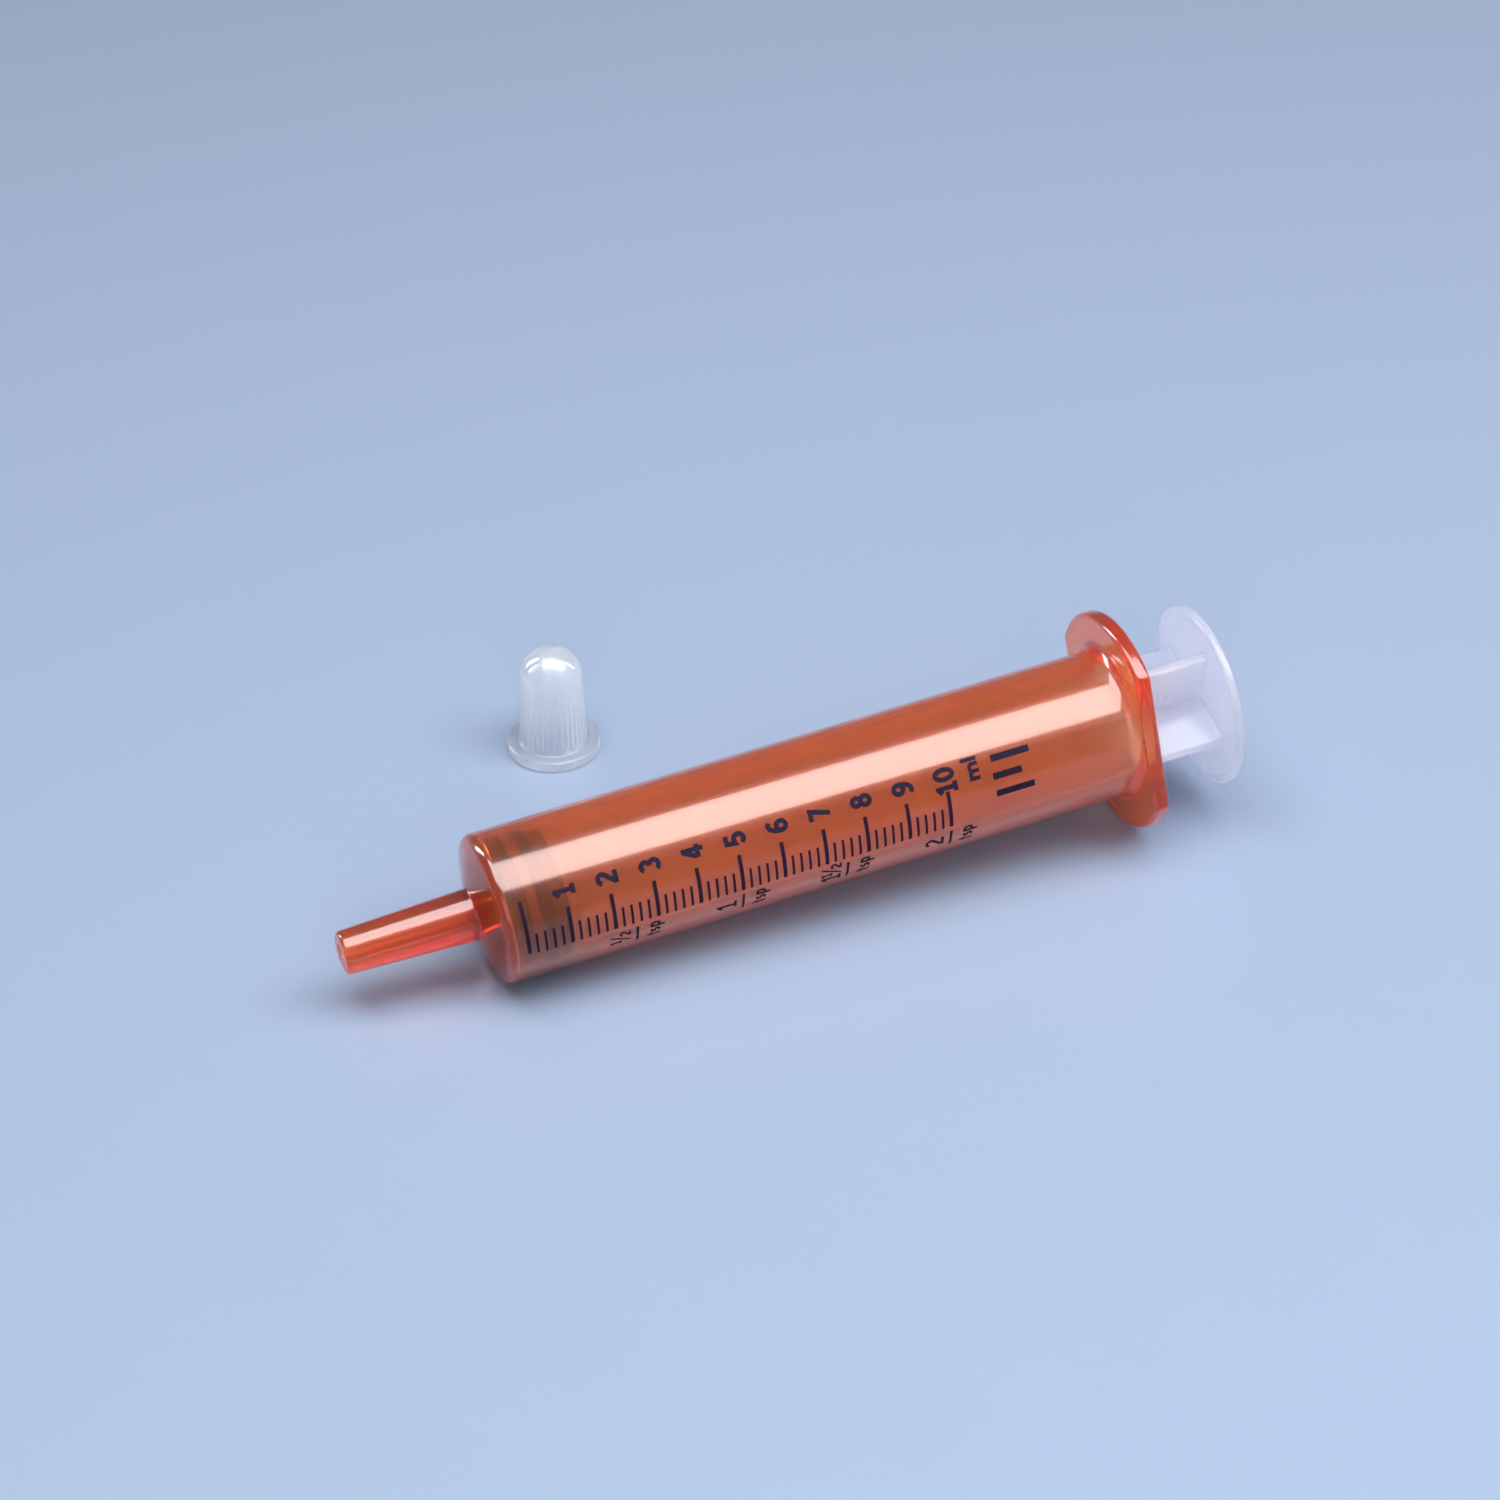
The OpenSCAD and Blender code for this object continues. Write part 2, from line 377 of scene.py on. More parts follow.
def make_plunger():
    """Thumb disc with a thin raised rim on both faces, the cross-shaped rod and the head it pushes with."""
    edge, head_edge = 0.45, 0.3
    bead, bead_width = 0.14, 1.0
    dish, dish_width = 0.25, 1.2
    pusher_end = PUSHER_AT + PUSHER_THICKNESS
    disc = [
        (0, DISC_AT + bead),
        *arc((DISC_R - bead_width, DISC_AT), bead, 90, 15, 4),
        *arc((DISC_R - edge, DISC_AT + edge), edge, 270, 360),
        *arc((DISC_R - edge, DISC_END - edge), edge, 0, 90),
        *arc((DISC_R - dish_width, DISC_END), dish, 0, -80, 4),
        (0, DISC_END - dish),
    ]
    head = [
        (0, BUTTON_AT),
        *arc((BUTTON_R - head_edge, BUTTON_AT + head_edge), head_edge, 270, 360, 4),
        (BUTTON_R, BUTTON_END),
        (NECK_R, BUTTON_END),
        (NECK_R, PUSHER_AT),
        *arc((PUSHER_R - head_edge, PUSHER_AT + head_edge), head_edge, 270, 360, 5),
        *arc((PUSHER_R - head_edge, pusher_end - head_edge), head_edge, 0, 90, 5),
        (0, pusher_end),
    ]
    rod = make_cross(pusher_end, DISC_AT + bead)
    disc = revolve("rod_disc", supported(disc), SYRINGE, None, 192)
    head = revolve("rod_head", supported(head), SYRINGE, None, 128)
    join_solids(rod, disc, head, make_gate_mark())
    rod.name = "plunger_moulding"
    rod.data.set_sharp_from_angle(angle=math.radians(40))
    rod.data.materials.clear()
    rod.data.materials.append(natural_plastic())
    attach(rod, "plunger_rod")
    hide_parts("plunger_rod")


def make_gate_mark():
    """Small dome where the moulding was fed, on the flank of the upper rib."""
    radius, edge, crown, sunk = 0.62, 0.30, 0.31, 0.4
    gate_out, gate_at = 2.5, 84.7
    foot, *shoulder = arc((radius - edge, 0), edge, 0, 75, 5)
    # The side runs straight on below the flank, so that no ring of points lies in the flank itself
    slope = (shoulder[0][0] - foot[0]) / (shoulder[0][1] - foot[1])
    dome = [(0, -sunk), (radius - slope * sunk, -sunk), *shoulder, (0, crown)]
    place = Matrix.Translation(Vector((gate_out, ROD_RIB / 2, gate_at)) * MM)
    flank = Matrix.Rotation(ROD_TURN, 4, "Z") @ place
    return revolve("gate_mark", dome, SYRINGE @ flank @ Matrix.Rotation(-math.pi / 2, 4, "X"), None, 48)


# ---------------------------------------------------------------- tip cap

def ripple(count, angle):
    """0 at each ridge and 1 at each valley of a row of flutes round the cap."""
    return 0.5 - 0.5 * math.cos(count * angle)


def cap_shape(radius, height, angle):
    """Grip of the cap: flutes that fade out under the dome, and a fine knurl round the foot."""
    rim, knurl_depth = 0.2, 0.04
    if radius > CAP_FOOT_R - rim and rim / 2 < height < CAP_FOOT - rim / 2:
        return radius - knurl_depth * ripple(CAP_KNURLS, angle), height
    low = CAP_FOOT + CAP_FILLET
    on_wall = CAP_TOP_R - rim < radius < CAP_ROOT_R + CAP_FILLET
    if not on_wall or not low < height < CAP_DOME_AT:
        return radius, height
    share = (CAP_DOME_AT - height) / (CAP_DOME_AT - low)
    shallow, deeper, falloff = 0.03, 0.18, 1.5
    top_slope, foot_slope = 0.5, 0.9
    depth = min(shallow + deeper * share**falloff, top_slope * share, foot_slope * (height - low))
    return radius - depth * ripple(CAP_FLUTES, angle), height


def make_cap():
    """Domed cap with a foot flange and a tapered socket, standing on its open end."""
    foot_edge, mouth_edge = 0.3, 0.2
    low = CAP_FOOT + CAP_FILLET
    wall_steps, crowding = 28, 1.5
    outer_wall = []
    for step in range(1, wall_steps + 1):
        height = low + (CAP_DOME_AT - low) * (step / wall_steps)**crowding
        share = (height - CAP_FOOT) / (CAP_DOME_AT - CAP_FOOT)
        outer_wall.append((CAP_ROOT_R + (CAP_TOP_R - CAP_ROOT_R) * share, height))
    section = [
        (0, SOCKET_DEPTH + SOCKET_END_R),
        *reversed(arc((0, SOCKET_DEPTH), SOCKET_END_R, 2, 86, 14)),
        (SOCKET_END_R, SOCKET_DEPTH),
        *arc((SOCKET_MOUTH_R + mouth_edge, mouth_edge), mouth_edge, 180, 270, 4),
        *arc((CAP_FOOT_R - foot_edge, foot_edge), foot_edge, 270, 360, 6),
        *arc((CAP_FOOT_R - foot_edge, CAP_FOOT - foot_edge), foot_edge, 0, 90, 6),
        *arc((CAP_ROOT_R + CAP_FILLET, low), CAP_FILLET, 270, 180, 6),
        *outer_wall,
        *arc((0, CAP_DOME_AT), CAP_TOP_R, 4, 86, 18),
        (0, CAP_HEIGHT),
    ]
    cap = revolve("cap_moulding", supported(section, 0.1), CAP, cap_shape, 12 * CAP_FLUTES)
    cap.data.materials.append(clear_plastic())
    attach(cap, "tip_cap")
    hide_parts("tip_cap")


# ---------------------------------------------------------------- printed scale

# The ink's underside and top, above the tube's surface
INK_LOW, INK_HIGH = 0.004, 0.02


def curve(cx, cy, rx, ry, start, end, steps=14):
    """Centre line of a curved stroke: an elliptical arc, angles in degrees."""
    angles = [math.radians(start + (end - start) * i / steps) for i in range(steps + 1)]
    return [(cx + rx * math.cos(a), cy + ry * math.sin(a)) for a in angles]


# Centre lines of each character's strokes, in a box one unit tall, and its width
GLYPHS = {
    "0": (0.62, [curve(0.31, 0.5, 0.215, 0.405, 90, 450, 28)]),
    "1": (0.50, [[(0.27, 0.02), (0.27, 1.0)], [(0.27, 0.90), (0.05, 0.74)], [(0.05, 0.075), (0.49, 0.075)]]),
    "2": (0.60, [curve(0.30, 0.69, 0.205, 0.215, 165, -20) + [(0.10, 0.17), (0.10, 0.095), (0.57, 0.095)]]),
    "3": (0.60, [curve(0.28, 0.705, 0.185, 0.20, 155, -90), curve(0.28, 0.30, 0.215, 0.205, 90, -155)]),
    "4": (0.62, [[(0.42, 0.0), (0.42, 1.0)], [(0.40, 0.94), (0.09, 0.34)], [(0.02, 0.27), (0.62, 0.27)]]),
    "5": (0.60, [[(0.53, 0.905), (0.17, 0.905), (0.125, 0.50)] + curve(0.29, 0.325, 0.215, 0.23, 125, -150)]),
    "6": (0.60, [curve(0.31, 0.31, 0.205, 0.215, 0, 360, 24), curve(0.40, 0.36, 0.295, 0.55, 62, 180)]),
    "7": (0.58, [[(0.03, 0.905), (0.47, 0.905), (0.22, 0.0)]]),
    "8": (0.60, [curve(0.30, 0.715, 0.175, 0.19, 90, 450, 24), curve(0.30, 0.305, 0.205, 0.21, 90, 450, 24)]),
    "9": (0.60, [curve(0.29, 0.69, 0.205, 0.215, 0, 360, 24), curve(0.20, 0.64, 0.295, 0.55, -118, 0)]),
    "m": (1.12, [
        [(0.12, 0.0), (0.12, 0.66)],
        curve(0.34, 0.33, 0.22, 0.22, 180, 0) + [(0.56, 0.0)],
        curve(0.78, 0.33, 0.22, 0.22, 180, 0) + [(1.00, 0.0)],
    ]),
    "l": (0.24, [[(0.12, 0.0), (0.12, 1.0)]]),
    "t": (0.36, [
        [(0.16, 0.92), (0.16, 0.20)] + curve(0.26, 0.19, 0.10, 0.11, 180, 280),
        [(0.0, 0.64), (0.34, 0.64)],
    ]),
    "s": (0.46, [curve(0.23, 0.49, 0.14, 0.125, 40, 270, 10) + curve(0.23, 0.23, 0.15, 0.135, 90, -140, 10)]),
    "p": (0.54, [[(0.10, 0.70), (0.10, -0.28)], curve(0.28, 0.36, 0.17, 0.27, 180, -180, 20)]),
}


def spell(text, spacing=0.06):
    """Strokes of a line of text, centred sideways, with its baseline at 0."""
    strokes, x = [], 0
    for letter in text:
        width, lines = GLYPHS[letter]
        strokes += [[(px + x, py) for px, py in line] for line in lines]
        x += width + spacing
    middle = (x - spacing) / 2
    return [[(px - middle, py) for px, py in line] for line in strokes]


def half_strip(line, width):
    """Left and right edges of a stroke of constant width, with mitred bends."""
    left, right = [], []
    sharpest = 0.5
    closed = math.dist(line[0], line[-1]) < TINY
    for i, (x, y) in enumerate(line):
        if closed:
            before, after = line[i - 1 if i else -2], line[(i + 1) if i < len(line) - 1 else 1]
        else:
            before, after = line[max(i - 1, 0)], line[min(i + 1, len(line) - 1)]
        a = Vector((x - before[0], y - before[1]))
        b = Vector((after[0] - x, after[1] - y))
        a = a.normalized() if a.length > TINY else b.normalized()
        b = b.normalized() if b.length > TINY else a
        along = (a + b).normalized() if (a + b).length > TINY else a
        across = Vector((-along.y, along.x))
        mitre = width / 2 / max(sharpest, across.dot(Vector((-a.y, a.x))))
        left.append((x + across.x * mitre, y + across.y * mitre))
        right.append((x - across.x * mitre, y - across.y * mitre))
    return left, right


def fine_line(line, step):
    """The same line with no stretch longer than step."""
    out = [line[0]]
    for a, b in zip(line, line[1:]):
        pieces = max(1, math.ceil(math.dist(a, b) / step))
        for k in range(1, pieces + 1):
            out.append(tuple(p + (q - p) * k / pieces for p, q in zip(a, b)))
    return out


def ink_point(bm, along, around, lift):
    """Vertex at a lift above the tube, from the distances along it and round it."""
    angle = around / TUBE_R
    r = (TUBE_R + lift) * MM
    return bm.verts.new((r * math.sin(angle), r * math.cos(angle), along * MM))


def print_strokes(bm, strokes, width, place):
    """Adds each stroke to the mesh as a thin slab of ink on the barrel, two faces wide.

    place(x, y) gives the distance along the barrel and round it, both in millimetres.
    """
    longest_step = 0.35
    for line in strokes:
        left, right = half_strip(fine_line(line, longest_step), width)
        rows = []
        for (lx, ly), (rx, ry) in zip(left, right):
            rows.append([place(lx + (rx - lx) * k / 2, ly + (ry - ly) * k / 2) for k in range(3)])
        low, high = [
            [[ink_point(bm, along, around, lift) for along, around in row] for row in rows]
            for lift in (INK_LOW, INK_HIGH)
        ]
        for i in range(len(rows) - 1):
            for k in range(2):
                bm.faces.new((high[i][k], high[i + 1][k], high[i + 1][k + 1], high[i][k + 1]))
                bm.faces.new((low[i][k], low[i][k + 1], low[i + 1][k + 1], low[i + 1][k]))
            for k in (0, 2):
                bm.faces.new((low[i][k], low[i + 1][k], high[i + 1][k], high[i][k]))
        for i in (0, len(rows) - 1):
            for k in range(2):
                bm.faces.new((low[i][k], low[i][k + 1], high[i][k + 1], high[i][k]))


def print_text(bm, text, along, around, size, stroke, spacing=0.06):
    """Prints characters whose tops point to the nozzle. along is the middle of their height."""
    def place(x, y):
        return along - (y - 0.5) * size, around + x * size

    print_strokes(bm, spell(text, spacing), stroke / size, place)


def print_line(bm, start, end, width):
    """Prints a straight line between two points given as (along, around)."""
    print_strokes(bm, [[start, end]], width, lambda x, y: (x, y))


def degrees_round(angle):
    """Distance round the tube, in millimetres, of an angle from its level side."""
    return math.radians(angle) * TUBE_R


def ink_piece(name, ink, fill):
    """One printed piece, which rides on the barrel. fill(bm) prints its strokes."""
    bm = bmesh.new()
    fill(bm)
    obj = finish_mesh(name, bm, SYRINGE, smooth=False)
    obj.data.materials.append(ink)
    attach(obj, "barrel")


def print_scale(ink):
    """Ticks of a fifth of a millilitre, longer and numbered at each whole one, and the unit."""
    low, zero_low = degrees_round(-4.7), degrees_round(-3.1)
    major_high, minor_high, zero_high = [degrees_round(a) for a in (25.3, 12.6, 39)]
    bold, fine = 0.46, 0.30
    digit_size, digit_stroke, unit_size = 2.6, 0.56, 1.97
    one_digit, two_digits, unit_middle = [degrees_round(a) for a in (37.3, 33.6, 36.4)]
    unit_gap = 3.3

    def ticks(bm):
        print_line(bm, (SCALE_START, zero_low), (SCALE_START, zero_high), bold)
        for fifth in range(1, SCALE_ML * TICKS_PER_ML + 1):
            at = SCALE_START + fifth * ML / TICKS_PER_ML
            high, width = (minor_high, fine) if fifth % TICKS_PER_ML else (major_high, bold)
            print_line(bm, (at, low), (at, high), width)

    def numerals(bm):
        for value in range(1, SCALE_ML + 1):
            around = one_digit if value < 10 else two_digits
            print_text(bm, str(value), SCALE_START + value * ML, around, digit_size, digit_stroke)

    def unit(bm):
        print_text(bm, "ml", SCALE_START + SCALE_ML * ML + unit_gap, unit_middle, unit_size, bold)

    ink_piece("scale_ticks", ink, ticks)
    ink_piece("scale_numerals", ink, numerals)
    ink_piece("scale_unit", ink, unit)


def print_spoon_scale(ink):
    """Second scale at the lower side: half teaspoons, each a number over a bar over its unit."""
    middle = degrees_round(-17.7)
    half_spoon = 2.5 * ML
    bar_half, bar_width = 1.3, 0.32
    number_above, number_size, number_stroke = 2.05, 2.45, 0.36
    unit_below, unit_size, unit_stroke, unit_spacing = 1.9, 1.75, 0.30, 0.08
    whole_shift, half_shift = 0.85, 0.55

    def marks(bm):
        for halves in range(1, 5):
            at = SCALE_START + halves * half_spoon
            print_line(bm, (at, middle - bar_half), (at, middle + bar_half), bar_width)
            print_text(bm, "tsp", at + unit_below, middle, unit_size, unit_stroke, unit_spacing)
            whole, half = divmod(halves, 2)
            if whole:
                around = middle - (whole_shift if half else 0)
                print_text(bm, str(whole), at - number_above, around, number_size, number_stroke)
            if half:
                around = middle + (half_shift if whole else 0)
                print_half(bm, at - number_above, around, number_size)

    ink_piece("spoon_scale", ink, marks)


def print_half(bm, along, around, size):
    """A one-half fraction with a slanting bar."""
    digit, digit_stroke, bar_width = size * 0.56, 0.26, 0.22
    print_text(bm, "1", along - size * 0.24, around - size * 0.26, digit, digit_stroke)
    print_text(bm, "2", along + size * 0.22, around + size * 0.30, digit, digit_stroke)
    slant = size * 0.22
    print_line(bm, (along + size / 2, around - slant), (along - size / 2, around + slant), bar_width)


def print_notes(ink):
    """Three plain bars behind the scale's end, with no lettering: degrees round, start and end."""
    bar_width = 0.80

    def bars(bm):
        for angle, start, end in ((39.6, 60.1, 64.9), (26.0, 59.9, 63.5), (12.2, 60.0, 64.8)):
            around = degrees_round(angle)
            print_line(bm, (start, around), (end, around), bar_width)

    ink_piece("note_bars", ink, bars)


# ---------------------------------------------------------------- materials

def new_material(name):
    """A new material with its nodes, its links and its shader."""
    material = bpy.data.materials.new(name)
    material.use_nodes = True
    nodes = material.node_tree.nodes
    return material, nodes, material.node_tree.links, nodes["Principled BSDF"]


def noise(nodes, links, scale, detail=2.0, stretch=(1, 1, 1)):
    """Noise in the object's own metres. A stretch below 1 draws it out along that axis."""
    coords = nodes.new("ShaderNodeTexCoord")
    mapping = nodes.new("ShaderNodeMapping")
    mapping.inputs["Scale"].default_value = stretch
    texture = nodes.new("ShaderNodeTexNoise")
    texture.inputs["Scale"].default_value = scale
    texture.inputs["Detail"].default_value = detail
    links.new(coords.outputs["Object"], mapping.inputs["Vector"])
    links.new(mapping.outputs["Vector"], texture.inputs["Vector"])
    return texture


def remap(nodes, links, source, low, high):
    """Spreads a value from 0 to 1 between low and high."""
    ramp = nodes.new("ShaderNodeMapRange")
    ramp.inputs["To Min"].default_value = low
    ramp.inputs["To Max"].default_value = high
    links.new(source, ramp.inputs["Value"])
    return ramp.outputs["Result"]


def bump(nodes, links, source, shader, distance, strength=1.0):
    """Fine relief; distance is its height in metres."""
    node = nodes.new("ShaderNodeBump")
    node.inputs["Distance"].default_value = distance
    node.inputs["Strength"].default_value = strength
    links.new(source, node.inputs["Height"])
    links.new(node.outputs["Normal"], shader.inputs["Normal"])


def absorb(nodes, links, colour, density):
    """Takes light off with the depth of plastic it passes; density is per metre."""
    volume = nodes.new("ShaderNodeVolumeAbsorption")
    volume.inputs["Color"].default_value = colour
    volume.inputs["Density"].default_value = density
    links.new(volume.outputs["Volume"], nodes["Material Output"].inputs["Volume"])


def let_light_through(nodes, links, shader, colour, share):
    """Mixes in diffuse light from behind, as thin milky plastic passes it."""
    behind = nodes.new("ShaderNodeBsdfTranslucent")
    behind.inputs["Color"].default_value = colour
    mix = nodes.new("ShaderNodeMixShader")
    mix.inputs["Fac"].default_value = share
    links.new(shader.outputs["BSDF"], mix.inputs[1])
    links.new(behind.outputs["BSDF"], mix.inputs[2])
    links.new(mix.outputs["Shader"], nodes["Material Output"].inputs["Surface"])


def tint(nodes, links, source, pale, deep, low=0.35, high=0.65):
    """Colour that goes from one close tone to the other as the source goes from low to high."""
    ramp = nodes.new("ShaderNodeValToRGB")
    ramp.color_ramp.elements[0].position, ramp.color_ramp.elements[0].color = low, pale
    ramp.color_ramp.elements[1].position, ramp.color_ramp.elements[1].color = high, deep
    links.new(source, ramp.inputs["Fac"])
    return ramp.outputs["Color"]


def tone_along_axis(nodes, links, starts, length, blend):
    """Colour that changes along the syringe: each tone runs from its start to the next one's.

    starts, length and blend, the width of each change, are in millimetres from the shoulder.
    """
    coords = nodes.new("ShaderNodeTexCoord")
    along = nodes.new("ShaderNodeVectorMath")
    along.operation = "DOT_PRODUCT"
    along.inputs[1].default_value = AXIS
    links.new(coords.outputs["Object"], along.inputs[0])
    place = nodes.new("ShaderNodeMapRange")
    place.inputs["From Min"].default_value = START.dot(AXIS)
    place.inputs["From Max"].default_value = START.dot(AXIS) + length * MM
    links.new(along.outputs["Value"], place.inputs["Value"])
    bands = nodes.new("ShaderNodeValToRGB")
    stops = [starts[0]]
    for (start, tone), (_, before) in zip(starts[1:], starts):
        stops += [(start - blend / 2, before), (start + blend / 2, tone)]
    bands.color_ramp.elements[0].color = stops[0][1]
    bands.color_ramp.elements[1].position = stops[-1][0] / length
    bands.color_ramp.elements[1].color = stops[-1][1]
    for position, tone in stops[1:-1]:
        bands.color_ramp.elements.new(position / length).color = tone
    links.new(place.outputs["Result"], bands.inputs["Fac"])
    return bands.outputs["Color"]


def amber_plastic():
    """Glossy amber polypropylene: tinted, cloudy, with faint flow waves in its skin."""
    material, nodes, links, shader = new_material("amber_polypropylene")
    shader.inputs["Transmission Weight"].default_value = 0.985
    shader.inputs["IOR"].default_value = 1.49
    shader.inputs["Specular IOR Level"].default_value = 0.05
    shader.inputs["Coat Weight"].default_value = 1.0
    shader.inputs["Coat IOR"].default_value = 1.42
    shader.inputs["Coat Roughness"].default_value = 0.03
    absorb(nodes, links, (1.0, 0.48, 0.13, 1), density=750)
    cloud = noise(nodes, links, scale=260, detail=3)
    links.new(remap(nodes, links, cloud.outputs["Fac"], 0.14, 0.20), shader.inputs["Roughness"])
    waves = noise(nodes, links, scale=90, detail=1.5, stretch=(0.25, 1, 1))
    colour = tint(nodes, links, waves.outputs["Fac"], (1.0, 0.70, 0.45, 1), (1.0, 0.65, 0.41, 1))
    links.new(colour, shader.inputs["Base Color"])
    bump(nodes, links, waves.outputs["Fac"], shader, distance=0.00002, strength=0.35)
    let_light_through(nodes, links, shader, (1.0, 0.62, 0.34, 1), share=0.16)
    return material


def natural_plastic():
    """Uncoloured polypropylene: milky and slightly frosted, with streaks where it flowed into the mould. Its
    slight blue cast is painted light, standing in for the bluish light the surroundings throw on it.
    """
    material, nodes, links, shader = new_material("natural_polypropylene")
    shader.inputs["Transmission Weight"].default_value = 0.84
    shader.inputs["Coat Weight"].default_value = 0.5
    shader.inputs["Coat IOR"].default_value = 1.42
    shader.inputs["Coat Roughness"].default_value = 0.05
    shader.inputs["IOR"].default_value = 1.42
    shader.inputs["Specular IOR Level"].default_value = 0.03
    streaks = noise(nodes, links, scale=300, detail=3, stretch=(0.3, 1, 1))
    # The streak tones vary as the plastic does; their blue cast is painted reflected light from the
    # surroundings
    colour = tint(nodes, links, streaks.outputs["Fac"], (0.92, 0.93, 1.0, 1), (0.80, 0.83, 0.95, 1))
    links.new(colour, shader.inputs["Base Color"])
    links.new(remap(nodes, links, streaks.outputs["Fac"], 0.15, 0.25), shader.inputs["Roughness"])
    grain = noise(nodes, links, scale=1800, detail=2)
    bump(nodes, links, grain.outputs["Fac"], shader, distance=0.00001, strength=0.4)
    let_light_through(nodes, links, shader, (0.86, 0.87, 0.95, 1), share=0.34)
    return material


def clear_plastic():
    """Clear moulded plastic with a light haze."""
    material, nodes, links, shader = new_material("clear_moulding")
    shader.inputs["Transmission Weight"].default_value = 0.92
    shader.inputs["IOR"].default_value = 1.5
    shader.inputs["Coat Weight"].default_value = 0.6
    shader.inputs["Coat Roughness"].default_value = 0.05
    haze = noise(nodes, links, scale=420, detail=3)
    colour = tint(nodes, links, haze.outputs["Fac"], (0.99, 0.99, 1.0, 1), (0.93, 0.95, 1.0, 1))
    links.new(colour, shader.inputs["Base Color"])
    links.new(remap(nodes, links, haze.outputs["Fac"], 0.05, 0.12), shader.inputs["Roughness"])
    let_light_through(nodes, links, shader, (0.95, 0.97, 1.0, 1), share=0.22)
    return material


def piston_rubber():
    """Satin dark rubber with a fine grain, with painted shade and light in bands along it: the ribs, where
    they press on the wall, are painted darkest, the groove between them is painted lighter for the light that
    reaches it through the gap, and the rear, farther from the wall, is painted in between.
    """
    material, nodes, links, shader = new_material("seal_rubber")
    # Painted shade for the sealing ribs, painted light for the groove and a painted half shade for the rear
    rib_shade, groove_light, rear_half_shade = (0.022, 0.050, 0.048, 1), (0.17, 0.14, 0.10, 1), (0.085, 0.10, 0.085, 1)
    # Painted shade and light along the piston, each tone starting at a distance from the shoulder in
    # millimetres
    starts = ((0.0, rib_shade), (3.6, groove_light), (4.85, rib_shade), (6.3, rear_half_shade))
    bands = tone_along_axis(nodes, links, starts, length=10, blend=0.2)
    tone = noise(nodes, links, scale=500, detail=4)
    mottle = nodes.new("ShaderNodeMix")
    mottle.data_type = "RGBA"
    mottle.blend_type = "MULTIPLY"
    # By number, because the node has sockets of the same name for its other data types
    factor, first, second, result = mottle.inputs[0], mottle.inputs[6], mottle.inputs[7], mottle.outputs[2]
    factor.default_value = 0.25
    links.new(bands, first)
    links.new(tone.outputs["Color"], second)
    links.new(result, shader.inputs["Base Color"])
    links.new(remap(nodes, links, tone.outputs["Fac"], 0.38, 0.55), shader.inputs["Roughness"])
    shader.inputs["Specular IOR Level"].default_value = 0.25
    grain = noise(nodes, links, scale=3000, detail=2)
    bump(nodes, links, grain.outputs["Fac"], shader, distance=0.00001, strength=0.5)
    return material


def printed_ink():
    """Screen-printed ink, a little uneven in cover."""
    material, nodes, links, shader = new_material("screen_ink")
    cover = noise(nodes, links, scale=2500, detail=3)
    full, thin = (0.006, 0.003, 0.010, 1), (0.020, 0.011, 0.028, 1)
    links.new(tint(nodes, links, cover.outputs["Fac"], full, thin, 0, 1), shader.inputs["Base Color"])
    links.new(remap(nodes, links, cover.outputs["Fac"], 0.50, 0.70), shader.inputs["Roughness"])
    shader.inputs["Specular IOR Level"].default_value = 0.06
    return material


def table_top():
    """Pale satin surface whose gloss varies a little."""
    material, nodes, links, shader = new_material("table_top")
    shader.inputs["Base Color"].default_value = (0.20, 0.254, 0.35, 1)
    shader.inputs["Specular IOR Level"].default_value = 0.35
    speckle = noise(nodes, links, scale=60, detail=4)
    links.new(remap(nodes, links, speckle.outputs["Fac"], 0.28, 0.34), shader.inputs["Roughness"])
    return material


# ---------------------------------------------------------------- studio

# Camera: turn from +Y towards +X, look down and roll in degrees, then the point it looks at,
# counted from the middle of the object's box, and its distance from there, in millimetres
CAMERA_TURN, CAMERA_DOWN, CAMERA_ROLL = 21.865, 36.754, -0.436
CAMERA_AIM = Vector((-0.07, -4.49, 0))
CAMERA_DISTANCE = 512.74
CAMERA_LENS, CAMERA_SENSOR = 105.31, 36


def make_camera():
    """Looks along +X and +Y and down on the syringe, as a long lens does from half a metre away."""
    azimuth, elevation, roll = [math.radians(a) for a in (CAMERA_TURN, CAMERA_DOWN, CAMERA_ROLL)]
    camera_data = bpy.data.cameras.new("camera")
    camera_data.lens = CAMERA_LENS
    camera_data.sensor_width = CAMERA_SENSOR
    camera_data.clip_start = 0.01
    camera = bpy.data.objects.new("camera", camera_data)
    heading = Vector((
        math.sin(azimuth) * math.cos(elevation),
        math.cos(azimuth) * math.cos(elevation),
        -math.sin(elevation),
    ))
    right = heading.cross(Vector((0, 0, 1))).normalized()
    above = right.cross(heading)
    turned_right = right * math.cos(roll) + above * math.sin(roll)
    turned_above = above * math.cos(roll) - right * math.sin(roll)
    turn = Matrix((turned_right, turned_above, -heading)).transposed().to_4x4()
    middle = (Vector(cad_box[0]) + Vector(cad_box[1])) / 2
    place = middle + CAMERA_AIM * MM - heading * CAMERA_DISTANCE * MM
    camera.matrix_world = Matrix.Translation(place) @ turn
    bpy.context.scene.collection.objects.link(camera)
    bpy.context.scene.camera = camera


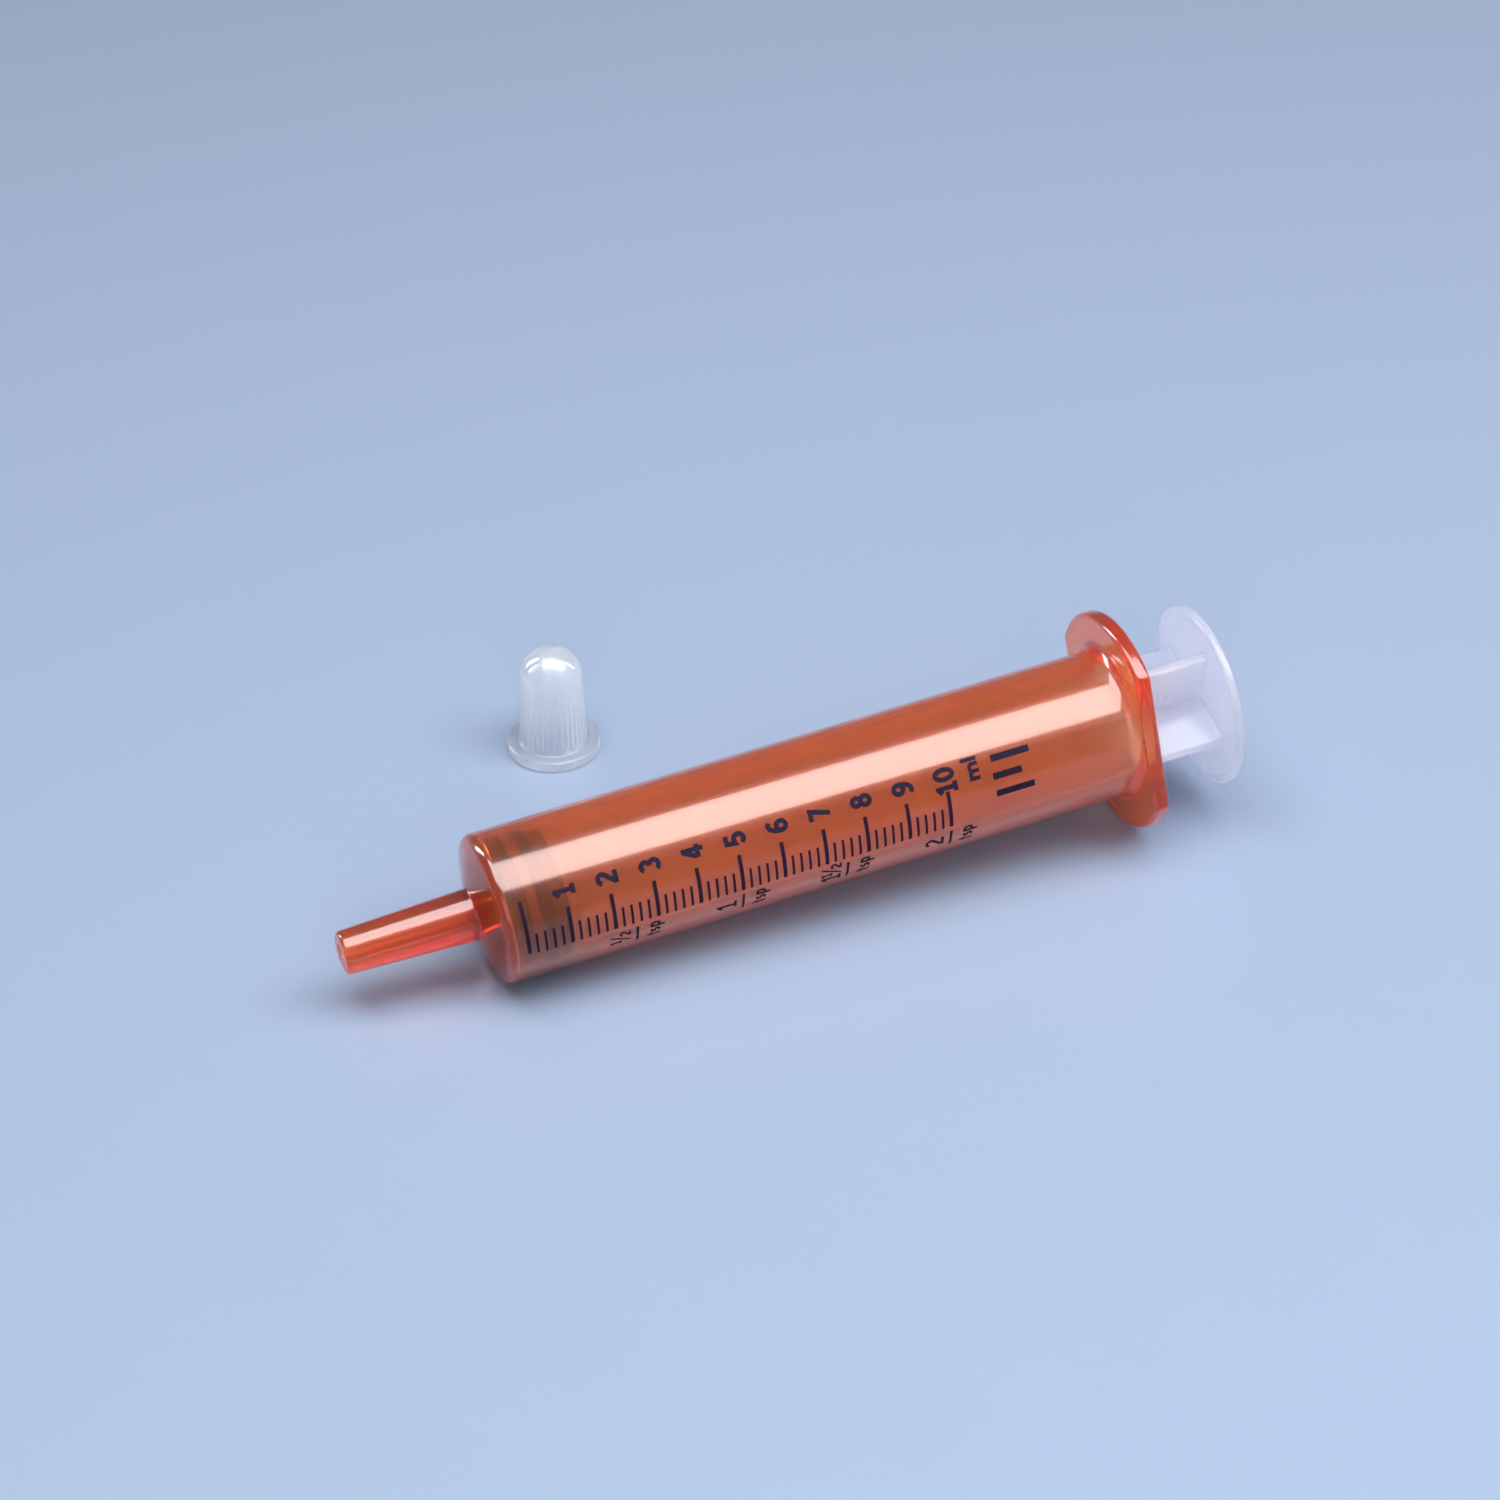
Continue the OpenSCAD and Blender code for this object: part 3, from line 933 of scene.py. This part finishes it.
def area_light(name, place, target, size, power, colour, turn=0, gloss_only=False, diffuse_only=False):
    """Rectangular softbox. It may show only in gloss, or light only matt surfaces."""
    light = bpy.data.lights.new(name, "AREA")
    light.shape = "RECTANGLE"
    light.size, light.size_y = size
    light.energy = power
    light.color = colour
    obj = bpy.data.objects.new(name, light)
    aim = (Vector(target) - Vector(place)).to_track_quat("-Z", "Y")
    obj.matrix_world = Matrix.Translation(place) @ Matrix.Rotation(turn, 4, "Z") @ aim.to_matrix().to_4x4()
    obj.visible_diffuse = not gloss_only
    obj.visible_glossy = not diffuse_only
    bpy.context.scene.collection.objects.link(obj)
    return obj


def keep_off(light, stage_piece):
    """The light shows in every surface's gloss apart from the stage piece's."""
    receivers = bpy.data.collections.new(light.name + "_receivers")
    receivers.objects.link(stage_piece)
    receivers.collection_objects[0].light_linking.link_state = "EXCLUDE"
    light.light_linking.receiver_collection = receivers


def make_studio():
    """A pale table just under the object, one broad softbox, two strips for glints and a soft fill."""
    bm = bmesh.new()
    bmesh.ops.create_grid(bm, x_segments=1, y_segments=1, size=3.0)
    table = finish_mesh("table", bm, Matrix.Translation((0, 0, -0.0001)), smooth=False)
    table.data.materials.append(table_top())
    over, below = (0.16, -0.17, 0.60), (0.16, -0.17, 0)
    box_size, box_turn = (1.1, 0.452), math.radians(-27)
    area_light("overhead_softbox", over, below, box_size, 12.0, (1, 0.98, 0.96), box_turn)
    area_light("softbox_gloss", over, below, box_size, 19.5, (0.42, 0.69, 1.0), box_turn, gloss_only=True)
    aim, pale = (0, 0, 0.01), (0.92, 0.96, 1.0)
    left = area_light("left_strip", (-0.33, 0.41, 0.26), aim, (0.10, 0.42), 2.6, pale, gloss_only=True)
    right = area_light("right_strip", (0.52, -0.03, 0.24), aim, (0.06, 0.30), 1.0, pale, gloss_only=True)
    keep_off(left, table)
    keep_off(right, table)
    area_light("front_fill", (-0.35, -0.9, 0.5), aim, (0.6, 0.6), 5.0, (0.96, 0.97, 1), diffuse_only=True)
    world = bpy.data.worlds.new("studio")
    bpy.context.scene.world = world
    world.use_nodes = True
    background = world.node_tree.nodes["Background"]
    background.inputs["Color"].default_value = (0.80, 0.86, 1.0, 1)
    background.inputs["Strength"].default_value = 0.22
    bpy.context.scene.view_settings.view_transform = "Standard"


make_camera()
make_barrel()
make_piston()
make_plunger()
make_cap()
ink = printed_ink()
print_scale(ink)
print_spoon_scale(ink)
print_notes(ink)
make_studio()
